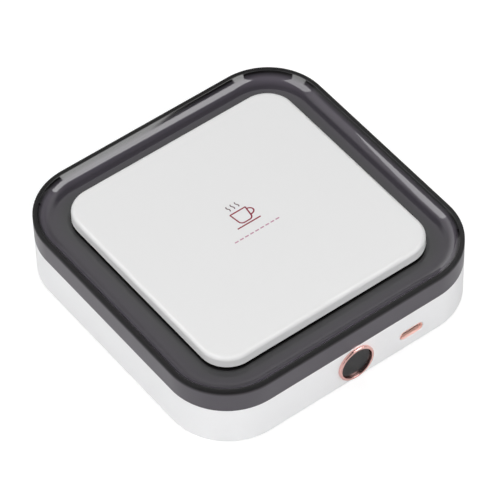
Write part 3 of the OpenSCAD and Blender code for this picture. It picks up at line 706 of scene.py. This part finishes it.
class WARMER_OT_tray(Step, bpy.types.Operator):
    """Smoked tray: outer wall, round rim, straight side and bend down to the moat's floor, and
    the underside, as one closed section carried round the rounded square, with hollow screw
    posts that flare into the underside"""

    bl_idname = "mug_warmer.tray"
    bl_label = "Smoked tray"

    def execute(self, context):
        settings = context.scene.mug_warmer
        body = settings.body
        rim_r, top, floor, bevel = body.rim / 2, TRAY.high.z, SEAL.low.z, 1 * MM
        seam_z, under = BASE.high.z - body.tongue, floor - body.floor
        wall, seam, mouth = body.wall, body.seam, body.half - body.opening
        rabbet, rabbet_top = wall - body.tongue_wall - FIT, BASE.high.z + FIT
        points = section(
            (0, seam_z + seam), *moat(body, np.array([rim_r, top - rim_r]), floor),
            (mouth, floor), (mouth, under), (wall + bevel, under), (wall, under - bevel),
            (wall, rabbet_top), (rabbet, rabbet_top), (rabbet, seam_z),
            arc((seam, seam_z + seam), seam, 270, 180, 4), closed=True)
        low, deep, bore, radius, flare = TRAY.low.z, 9 * MM, 1.5 * MM, 3.4 * MM, 1.2 * MM
        screw_posts = posts(
            FEET["foot_front_right"].mid.x, (0, low + deep), (bore, low + deep), (bore, low),
            (radius, low), (radius, under - flare), (radius + flare, under), (0, under))
        add_piece("smoked_tray", [shell(sweep(square_outline(body), points), closed=True)] + screw_posts,
                  smoked_plastic(settings.finish, body), ["smoke_tray"])
        return {"FINISHED"}


class WARMER_OT_plate(Step, bpy.types.Operator):
    """Heated plate: skirt and rounded edge carried round a smaller rounded square, closed by
    a flat top, bosses with pilot bores under it, and the black seal that the skirt stands on"""

    bl_idname = "mug_warmer.plate"
    bl_label = "Heated plate"

    def execute(self, context):
        settings = context.scene.mug_warmer
        plate = settings.plate
        outline, top, skirt_low = square_outline(plate), PLATE.high.z, SEAL.low.z + plate.seal
        edge, low_edge, skirt = plate.edge, plate.low_edge, plate.skirt
        under, inner = top - plate.wall, skirt + 0.8 * MM
        grid = sweep(outline, section(
            (inner, under), (skirt, under), (skirt, skirt_low),
            arc((low_edge, skirt_low + low_edge), low_edge, 270, 180, 4),
            arc((edge, top - edge), edge, 180, 90, 14), (0.6 * plate.corner, top)))
        shares = (0.8, 0.5, 0.2, 0.0)
        below, above = shrink(grid[:, 0], shares[::-1], under), shrink(grid[:, -1], shares, top)
        flat_sided = shell(np.concatenate([below, grid, above], 1))
        low, deep, bore, radius, head = PLATE.low.z, 4.6 * MM, 1.25 * MM, 3.2 * MM, 2.3 * MM
        bosses = posts(Box("plate_screws").high.x - head, (0, low + deep), (bore, low + deep),
                       (bore, low), (radius, low), (radius, under), (0, under))
        enamel = moulded("White enamel", settings.finish.enamel, 0.60, spread=0.04, grain=1400.0,
                         share=0.25, strength=0.1, tone=0.99, Specular_IOR_Level=0.25)
        add_piece("enamel_plate", [flat_sided] + bosses, enamel, ["heating_plate"])
        low, high, bulge, lip = SEAL.low.z, SEAL.high.z, plate.seal / 2, skirt + 0.1 * MM
        out, inner = 0.5 * MM + bulge, 0.5 * MM + plate.seal_width
        points = section(arc((out, low + bulge), bulge, 90, 270, 10), (inner, low), (inner, high),
                         (lip, high), (lip, skirt_low), closed=True)
        silicone = moulded("Black silicone", settings.finish.seal, 0.55, grain=3000.0, share=0.6)
        add_piece("plate_seal", [shell(sweep(outline, points), closed=True)], silicone,
                  ["plate_gasket"])
        return {"FINISHED"}


class WARMER_OT_button(Step, bpy.types.Operator):
    """Push button: a turned rose gold ring on a sleeve, and a glossy black cap with a faintly
    dished face, a flange behind the sleeve and a stem"""

    bl_idname = "mug_warmer.button"
    bl_label = "Button and ring"

    def execute(self, context):
        settings = context.scene.mug_warmer
        button = settings.button
        outer, face, back, wall_face = RING.size.x / 2, RING.low.y, RING.high.y, BASE.low.y
        bore, bead, lip = outer - button.ring, button.bead, button.lip
        sleeve = bore + button.sleeve
        points = section(
            (bore, back), arc((bore + lip, face + lip), lip, 180, 270, 6),
            arc((outer - bead, face + bead), bead, 270, 360, 8), (outer, wall_face),
            (sleeve, wall_face), (sleeve, back), closed=True)
        rose = metal("Rose gold", settings.finish.rose, 0.22, stretch=(700.0, 700.0, 700.0),
                     spread=0.06, tone=0.94, strength=0.05)
        ring = shell(into_wall(turn(points, 128), RING), closed=True)
        add_piece("button_ring", [ring], rose, ["button_bezel"])
        face, back, radius, edge = CAP.low.y, CAP.high.y, button.cap, button.cap_edge
        across = np.linspace(0, 1, 12)
        dish = np.stack([(radius - edge) * across, face + button.dish * (1 - across ** 2)], 1)
        flange, flange_low, flange_high = CAP.size.x / 2, wall_face + 2.9 * MM, wall_face + 4.0 * MM
        thick, stem = 1.2 * MM, 2.2 * MM
        points = section(
            dish, arc((radius - edge, face + edge), edge, 270, 360, 8), (radius, flange_low),
            (flange, flange_low), (flange, flange_high), (radius - thick, flange_high),
            (radius - thick, face + thick), (stem, face + thick), (stem, back), (0, back))
        black = moulded("Gloss black", settings.finish.black, 0.12, spread=0.05, grain=1500.0,
                        share=0.2, strength=0.05, IOR=1.42, Specular_IOR_Level=0.25)
        add_piece("button_face", [shell(into_wall(turn(points, 128), RING))], black,
                  ["button_cap"], "button")
        return {"FINISHED"}


def contact_strip(front, back, level):
    """Contact strip on a face at that level: a low box whose ends shrink to a line."""
    half, rise, middle = 0.12 * MM, 0.04 * MM, level - 0.01 * MM
    ends = np.array([0, 1, 1, 0])[:, None]
    flat = [ends * [-half, half, half, -half], middle + ends * [-rise, -rise, rise, rise]]
    return lifted(np.stack(flat, -1), np.array([front, front, back, back])[:, None])


class WARMER_OT_inlet(Step, bpy.types.Operator):
    """Power inlet: a drawn rose gold shell with round ends and a bevelled mouth, the black
    plug and round-nosed tongue in it, and rows of gold contacts on both faces of the tongue"""

    bl_idname = "mug_warmer.inlet"
    bl_label = "Power inlet"

    def execute(self, context):
        settings = context.scene.mug_warmer
        width, height, front, back = PORT.size.x, PORT.size.z, PORT.low.y, PORT.high.y
        wall, lip, bevel = 0.3 * MM, 0.06 * MM, 0.6 * MM
        points = section(arc((lip, front + lip), lip, 180, 270, 6), (wall, front + bevel),
                         (wall, back), (0, back), closed=True)
        tube = shell(into_wall(sweep(slot_outline(width, height), points), PORT), closed=True)
        # Painted light: the inlet's shell takes the paler rose copy with no metal, standing in for light
        # inside the slot
        rose = metal("Rose gold inlet painted light", settings.finish.rose_inlet_painted_light, 0.36, metallic=0.0,
                     stretch=(1500.0, 60.0, 1500.0), spread=0.08, tone=0.92, strength=0.05)
        add_piece("inlet_shell", [tube], rose, ["port_shell"])
        width, height, nose, back = width - 2 * wall, height - 2 * wall, front + 0.75 * MM, TONGUE.high.y
        foot, play, level, half, nose_r = back - 1.6 * MM, 0.05 * MM, 0.35 * MM, 3.3 * MM, 0.2 * MM
        plug = section((height / 2, foot), (play, foot), (play, back), (height / 2, back))
        tongue = section((level, nose), arc((nose_r, nose + nose_r), nose_r, 270, 180, 6),
                         (0, foot + 2 * play), (level, foot + 2 * play))
        black = moulded("Inlet insulator", (0.012, 0.012, 0.012), 0.4, share=0.5, strength=0.2)
        add_piece("inlet_tongue", [
            shell(into_wall(sweep(slot_outline(width, height), plug), PORT)),
            shell(into_wall(sweep(slot_outline(2 * half, 2 * level), tongue), PORT))],
            black, ["port_tongue"])
        contacts, pitch = 12, 0.5 * MM
        strip = contact_strip(nose + 0.5 * MM, foot - 0.2 * MM, level)
        strips = [shell(into_wall(strip * [1, side, 1] + [dx, 0, 0], PORT), closed=True, ring=False)
                  for dx in (np.arange(contacts) - (contacts - 1) / 2) * pitch for side in (-1, 1)]
        gold = metal("Contact gold", (0.95, 0.68, 0.30), 0.18, stretch=(1500.0, 60.0, 1500.0))
        add_piece("inlet_contacts", strips, gold)
        return {"FINISHED"}


def cup_line():
    """Mug seen from the side, in millimetres: straight tapered sides, round lower corners."""
    top, low, half_top, half_low, bend = 5.2, 0.1, 3.0, 2.5, 1.5
    outline = [*arc((half_low - bend, low + bend), bend, -90, 0, 8), [half_top, top],
               [-half_top, top], *arc((bend - half_low, low + bend), bend, 180, 270, 8)]
    return walk(outline + outline[:1], 0.12)[:-1]


def handle_line():
    """Half an ellipse on the cup's right side, with both ends on the cup's outline."""
    centre, reach = np.array([2.75, 3.0]), np.array([1.75, 1.35])
    return centre + reach * circle(np.radians(np.linspace(82, -98, 40)))


def steam_line(x):
    """Steam: x + swing sin(2 pi t), rising with t."""
    swing, low, rise = 0.28, 6.5, 2.4
    t = np.linspace(0, 1, 30)
    return np.stack([x + swing * np.sin(2 * np.pi * t), low + rise * t], 1)


def level_line(start, end, y):
    """Straight line across the plate."""
    return walk([[start, y], [end, y]], 0.08)


def ribbon(path, sign, width=1.0, closed=False):
    """Shell of a flat band of ink along a path on the plate: its section is a rectangle as
    wide as the stroke. The half width falls as a quarter circle, sqrt(w^2 - s^2), at each
    end of an open path."""
    path = path * MM
    ahead = np.roll(path, -1, 0) - np.roll(path, 1, 0) if closed else np.gradient(path, axis=0)
    ahead /= np.linalg.norm(ahead, axis=1)[:, None]
    across = np.stack([-ahead[:, 1], ahead[:, 0]], 1)
    at, half = walked(path), width * sign.stroke / 2
    left = np.clip(half - np.minimum(at, at[-1] - at), 0, None) * (not closed)
    reach = np.sqrt(half ** 2 - left ** 2)[:, None] * np.array([-1, 1, 1, -1])
    band = lifted(path[:, None] + across[:, None] * reach[..., None],
                  PLATE.high.z + sign.film * np.array([-1, -1, 1, 1]))
    return shell(band, closed=True, ring=closed)


class WARMER_OT_sign(Step, bpy.types.Operator):
    """Printed sign of a steaming cup on a saucer line, with a row of plain dashes under it,
    as thin films of ink on the plate. Its lines are in millimetres from the plate's middle"""

    bl_idname = "mug_warmer.sign"
    bl_label = "Printed sign"

    def execute(self, context):
        settings = context.scene.mug_warmer
        sign, finish = settings.sign, settings.finish
        saucer, saucer_y, row_y = 4.6, -0.9, -5.0
        dash, step = sign.dash / MM, (sign.dash + sign.dash_gap) / MM
        starts = (sign.dash_gap / MM - sign.dashes * step) / 2 + step * np.arange(sign.dashes)
        for name, base, shells in (
                ("cup_sign", finish.sign,
                 [ribbon(cup_line(), sign, closed=True), ribbon(handle_line(), sign),
                  ribbon(level_line(-saucer, saucer, saucer_y), sign)]),
                ("steam_sign", finish.steam,
                 [ribbon(steam_line(x), sign, 0.8) for x in (-1.9, -0.2, 1.5)]),
                ("dash_row", finish.dashes,
                 [ribbon(level_line(start, start + dash, row_y), sign) for start in starts])):
            ink = moulded("Ink " + name, base, 0.42, grain=4200.0, share=0.8, depth=0.004 * MM,
                          tone=0.8, Specular_IOR_Level=0.2)
            add_piece(name, shells, ink)
        return {"FINISHED"}


class WARMER_OT_feet(Step, bpy.types.Operator):
    """Rubber feet: a turned disc with a rounded sole and one shallow groove, and the plug
    that fills the screw's counterbore"""

    bl_idname = "mug_warmer.feet"
    bl_label = "Rubber feet"

    def execute(self, context):
        bevel, plug, disc = 0.5 * MM, 2.9 * MM, 1.5 * MM
        groove, inner, outer, side = 0.25 * MM, 2.8 * MM, 3.3 * MM, 0.2 * MM
        size = FEET["foot_front_left"].size
        radius, top = size.x / 2, size.z
        points = section(
            (0, 0), (inner - side, 0), (inner, groove), (outer, groove), (outer + side, 0),
            arc((radius - bevel, bevel), bevel, 270, 360, 8), (radius, disc), (plug, disc),
            (plug, top), (0, top))
        rubber = moulded("Foot rubber", (0.035, 0.035, 0.038), 0.75, grain=2600.0, share=0.8,
                         strength=0.6, depth=0.02 * MM)
        for node, box in FEET.items():
            foot = turn(points, 72) + np.array([box.mid.x, box.mid.y, box.low.z])
            add_piece(node.replace("foot", "sole"), [shell(foot)], rubber, [node])
        return {"FINISHED"}


class WARMER_OT_inner_parts(Step, bpy.types.Operator):
    """Finishes of the solids that stay as they are: cover, fasteners, heater and electronics"""

    bl_idname = "mug_warmer.inner_parts"
    bl_label = "Inner parts"

    def execute(self, context):
        cover = shade(context.scene.mug_warmer.finish.white, 0.96)
        for material, *nodes in (
                (metal("Screw steel", (0.58, 0.58, 0.60), 0.28, stretch=(900.0, 900.0, 60.0)),
                 "plate_screws", "board_screws", "case_screws"),
                (moulded("Chip epoxy", (0.025, 0.025, 0.027), 0.6, grain=4000.0, share=0.9),
                 "microcontroller", "power_transistor", "chip_resistors"),
                (moulded("Switch plastic", (0.020, 0.020, 0.022), 0.5, grain=3000.0, share=0.6),
                 "switch_body", "switch_plunger"),
                (moulded("Grained cover", cover, 0.55, grain=1300.0, share=0.9, depth=0.05 * MM,
                         strength=0.6, tone=0.97), "bottom_cover"),
                (polyimide_film(), "film_heater"),
                (metal("Track foil", (0.66, 0.66, 0.62), 0.3), "heater_track"),
                (insulation_felt(), "insulation_pad"),
                (zinc_steel(), "heater_bracket"),
                (moulded("Sensor bead", (0.02, 0.02, 0.025), 0.2, grain=900.0), "thermistor"),
                (moulded("Fuse ceramic", (0.72, 0.64, 0.50), 0.35, grain=1800.0, tone=0.9),
                 "thermal_fuse"),
                (moulded("Red wire", (0.50, 0.02, 0.015), 0.45, grain=1600.0, tone=0.85),
                 "heater_leads"),
                (moulded("Black wire", (0.02, 0.02, 0.02), 0.45, grain=1600.0, tone=0.85),
                 "sensor_leads"),
                (board_laminate(), "circuit_board"),
                (metal("Capacitor can", (0.72, 0.73, 0.75), 0.22, stretch=(1200.0, 1200.0, 40.0)),
                 "filter_capacitor"),
                (moulded("Connector nylon", (0.80, 0.78, 0.68), 0.5, grain=1500.0,
                         Subsurface_Weight=0.1), "lead_connectors")):
            for node in nodes:
                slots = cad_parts[node].data.materials
                slots.clear()
                slots.append(material)
        return {"FINISHED"}


# ---- studio ----

def facing(azimuth, elevation, roll, target, offset):
    """Place and turn of something that faces a target on the vertical axis from an azimuth,
    which is 0 in front of the warmer, and an elevation, with a roll and an offset along its
    own right, up and back."""
    return (Matrix.Translation((0, 0, target)) @ Matrix.Rotation(azimuth, 4, "Z")
            @ Matrix.Rotation(math.pi / 2 - elevation, 4, "X") @ Matrix.Rotation(roll, 4, "Z")
            @ Matrix.Translation(offset))


def add_camera(scene, studio):
    """Camera that faces the middle of the base."""
    data = bpy.data.cameras.new("camera")
    data.sensor_width, data.lens = 36.0, studio.lens
    data.clip_start, data.clip_end = 0.05, 20.0
    scene.camera = new_object("camera", data)
    scene.camera.matrix_world = facing(studio.azimuth, studio.elevation, studio.roll, BASE.low.z,
                                       (studio.shift_right, studio.shift_up, studio.distance))


def add_floor():
    """Square sheet. Camera rays see it half lit and half glowing, so that it is white and
    keeps a light shadow."""
    half, low = 3.0, -0.02 * MM
    mesh = bpy.data.meshes.new("floor")
    mesh.from_pydata([(-half, -half, low), (half, -half, low), (half, half, low),
                      (-half, half, low)], [], [(0, 1, 2, 3)])
    material, nodes = new_nodes(bpy.data.materials, "Floor paper")
    glowing = nodes.between(nodes.add("LightPath")["Is Camera Ray"], 0, 1, 0.0, 0.5)
    paper = nodes.add("BsdfDiffuse", {"Color": (0.88, 0.88, 0.88)})["BSDF"]
    glow = nodes.add("Emission", {"Strength": 1.4})["Emission"]
    mixed = nodes.add("MixShader", {"Fac": glowing, 1: paper, 2: glow})["Shader"]
    nodes.add("OutputMaterial", {"Surface": mixed})
    mesh.materials.append(material)
    new_object("floor", mesh)


def add_world(scene, studio):
    """White to the camera, and dim to matt surfaces, apart from a reflector in front.
    Gloss sees a white backdrop behind the warmer, brighter low on its left and dim low on
    its right, which ends below a dark ceiling, and a dark room in front."""
    behind, to_left, from_fill = (0.588, 0.809, 0.0), (-0.809, 0.588, 0.0), (0.85, 0.53, 0.0)
    ceiling_level, room_level, low_right = 0.06, 0.12, 0.3
    scene.world, nodes = new_nodes(bpy.data.worlds, "studio")
    between = nodes.between
    path = nodes.add("LightPath")
    way = nodes.add("TexCoord")["Generated"]
    height = nodes.add("SeparateXYZ", {"Vector": way})["Z"]

    def towards(direction, *limits):
        """Number that follows how far a ray goes along a direction."""
        return between(nodes.vector("DOT_PRODUCT", way, direction), *limits)

    ceiling = between(height, 0.77, 0.83, 1.0, ceiling_level)
    room = towards(behind, -0.15, 0.15, room_level, 1.0)
    low = towards(to_left, -0.25, 0.15, low_right, studio.backdrop)
    backdrop = nodes.math("MULTIPLY", ceiling, nodes.mix(between(height, 0.35, 0.65), low, 1.0))
    gloss = nodes.math("MULTIPLY", backdrop, room)
    seen = nodes.math("MAXIMUM", path["Is Glossy Ray"], path["Is Transmission Ray"])
    reflector = towards(from_fill, -0.2, -0.8, 0, studio.fill)
    level = nodes.math("MULTIPLY", reflector, between(height, 0.4, 0.6, 1, 0))
    matt = nodes.math("ADD", level, studio.ambient)
    strength = nodes.mix(path["Is Camera Ray"], nodes.mix(seen, matt, gloss), 1.0)
    background = nodes.add("Background", {"Color": (1, 1, 1), "Strength": strength})
    nodes.add("OutputWorld", {"Surface": background["Background"]})


def add_lamp(name, azimuth, elevation, distance, size, strength):
    """Area lamp that faces the middle of the tray. Gloss alone shows a softbox, and any other
    lamp lights matt surfaces alone."""
    data = bpy.data.lights.new(name, "AREA")
    data.shape = "RECTANGLE"
    data.size, data.size_y = size
    data.energy = strength * math.pi * size[0] * size[1]
    lamp = new_object(name, data)
    lamp.matrix_world = facing(math.radians(azimuth), math.radians(elevation), 0, TRAY.high.z,
                               (0, 0, distance))
    lamp.visible_camera = False
    gloss = "softbox" in name
    lamp.visible_diffuse = not gloss
    lamp.visible_glossy = lamp.visible_transmission = gloss


class WARMER_OT_studio(Step, bpy.types.Operator):
    """Studio: a pale floor under a white surround, two softboxes that only gloss shows, three
    lamps that only light matt surfaces, and the camera"""

    bl_idname = "mug_warmer.studio"
    bl_label = "Studio"

    def execute(self, context):
        scene, studio = context.scene, context.scene.mug_warmer.studio
        scene.view_settings.view_transform = "Standard"
        add_camera(scene, studio)
        add_floor()
        add_world(scene, studio)
        for name, azimuth, elevation, distance, size in (
                ("softbox_left", -110, 36.4, 0.268, (0.205, 0.194)),
                ("softbox_right", 36.4, 38.2, 0.184, (0.133, 0.123)),
                ("key_left", -107, 32, 1.2, (0.9, 0.9)),
                ("key_front", -3, 36, 1.2, (0.9, 0.9)),
                ("key_back", 135, 60, 1.2, (0.9, 0.9))):
            add_lamp(name, azimuth, elevation, distance, size, getattr(studio, name))
        return {"FINISHED"}


class WARMER_PT_panel(bpy.types.Panel):
    """Mug warmer's sizes, finishes and pieces"""

    bl_idname = "WARMER_PT_panel"
    bl_label = "Mug warmer"
    bl_space_type = "VIEW_3D"
    bl_region_type = "UI"
    bl_category = "Mug Warmer"

    def draw(self, context):
        """Lists the operators and the settings."""
        for operator in OPERATORS:
            self.layout.operator(operator.bl_idname)
        for name in WarmerSettings.__annotations__:
            box = self.layout.box()
            box.label(text=name.capitalize())
            values = getattr(context.scene.mug_warmer, name)
            for key in values.__annotations__:
                box.prop(values, key)


OPERATORS = (WARMER_OT_base_shell, WARMER_OT_tray, WARMER_OT_plate, WARMER_OT_button,
             WARMER_OT_inlet, WARMER_OT_sign, WARMER_OT_feet, WARMER_OT_inner_parts,
             WARMER_OT_studio)
CLASSES = (WarmerBodySettings, WarmerPlateSettings, WarmerButtonSettings, WarmerPrintSettings,
           WarmerFinishSettings, WarmerStudioSettings, WarmerSettings, *OPERATORS,
           WARMER_PT_panel)


def register():
    """Registers the classes and the scene's settings."""
    for cls in CLASSES:
        bpy.utils.register_class(cls)
    bpy.types.Scene.mug_warmer = PointerProperty(type=WarmerSettings)


def unregister():
    """Takes both away again."""
    del bpy.types.Scene.mug_warmer
    for cls in reversed(CLASSES):
        bpy.utils.unregister_class(cls)


def main():
    """Registers the classes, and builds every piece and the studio."""
    register()
    bpy.ops.mug_warmer.base_shell()
    bpy.ops.mug_warmer.tray()
    bpy.ops.mug_warmer.plate()
    bpy.ops.mug_warmer.button()
    bpy.ops.mug_warmer.inlet()
    bpy.ops.mug_warmer.sign()
    bpy.ops.mug_warmer.feet()
    bpy.ops.mug_warmer.inner_parts()
    bpy.ops.mug_warmer.studio()


if __name__ == "__main__":
    main()
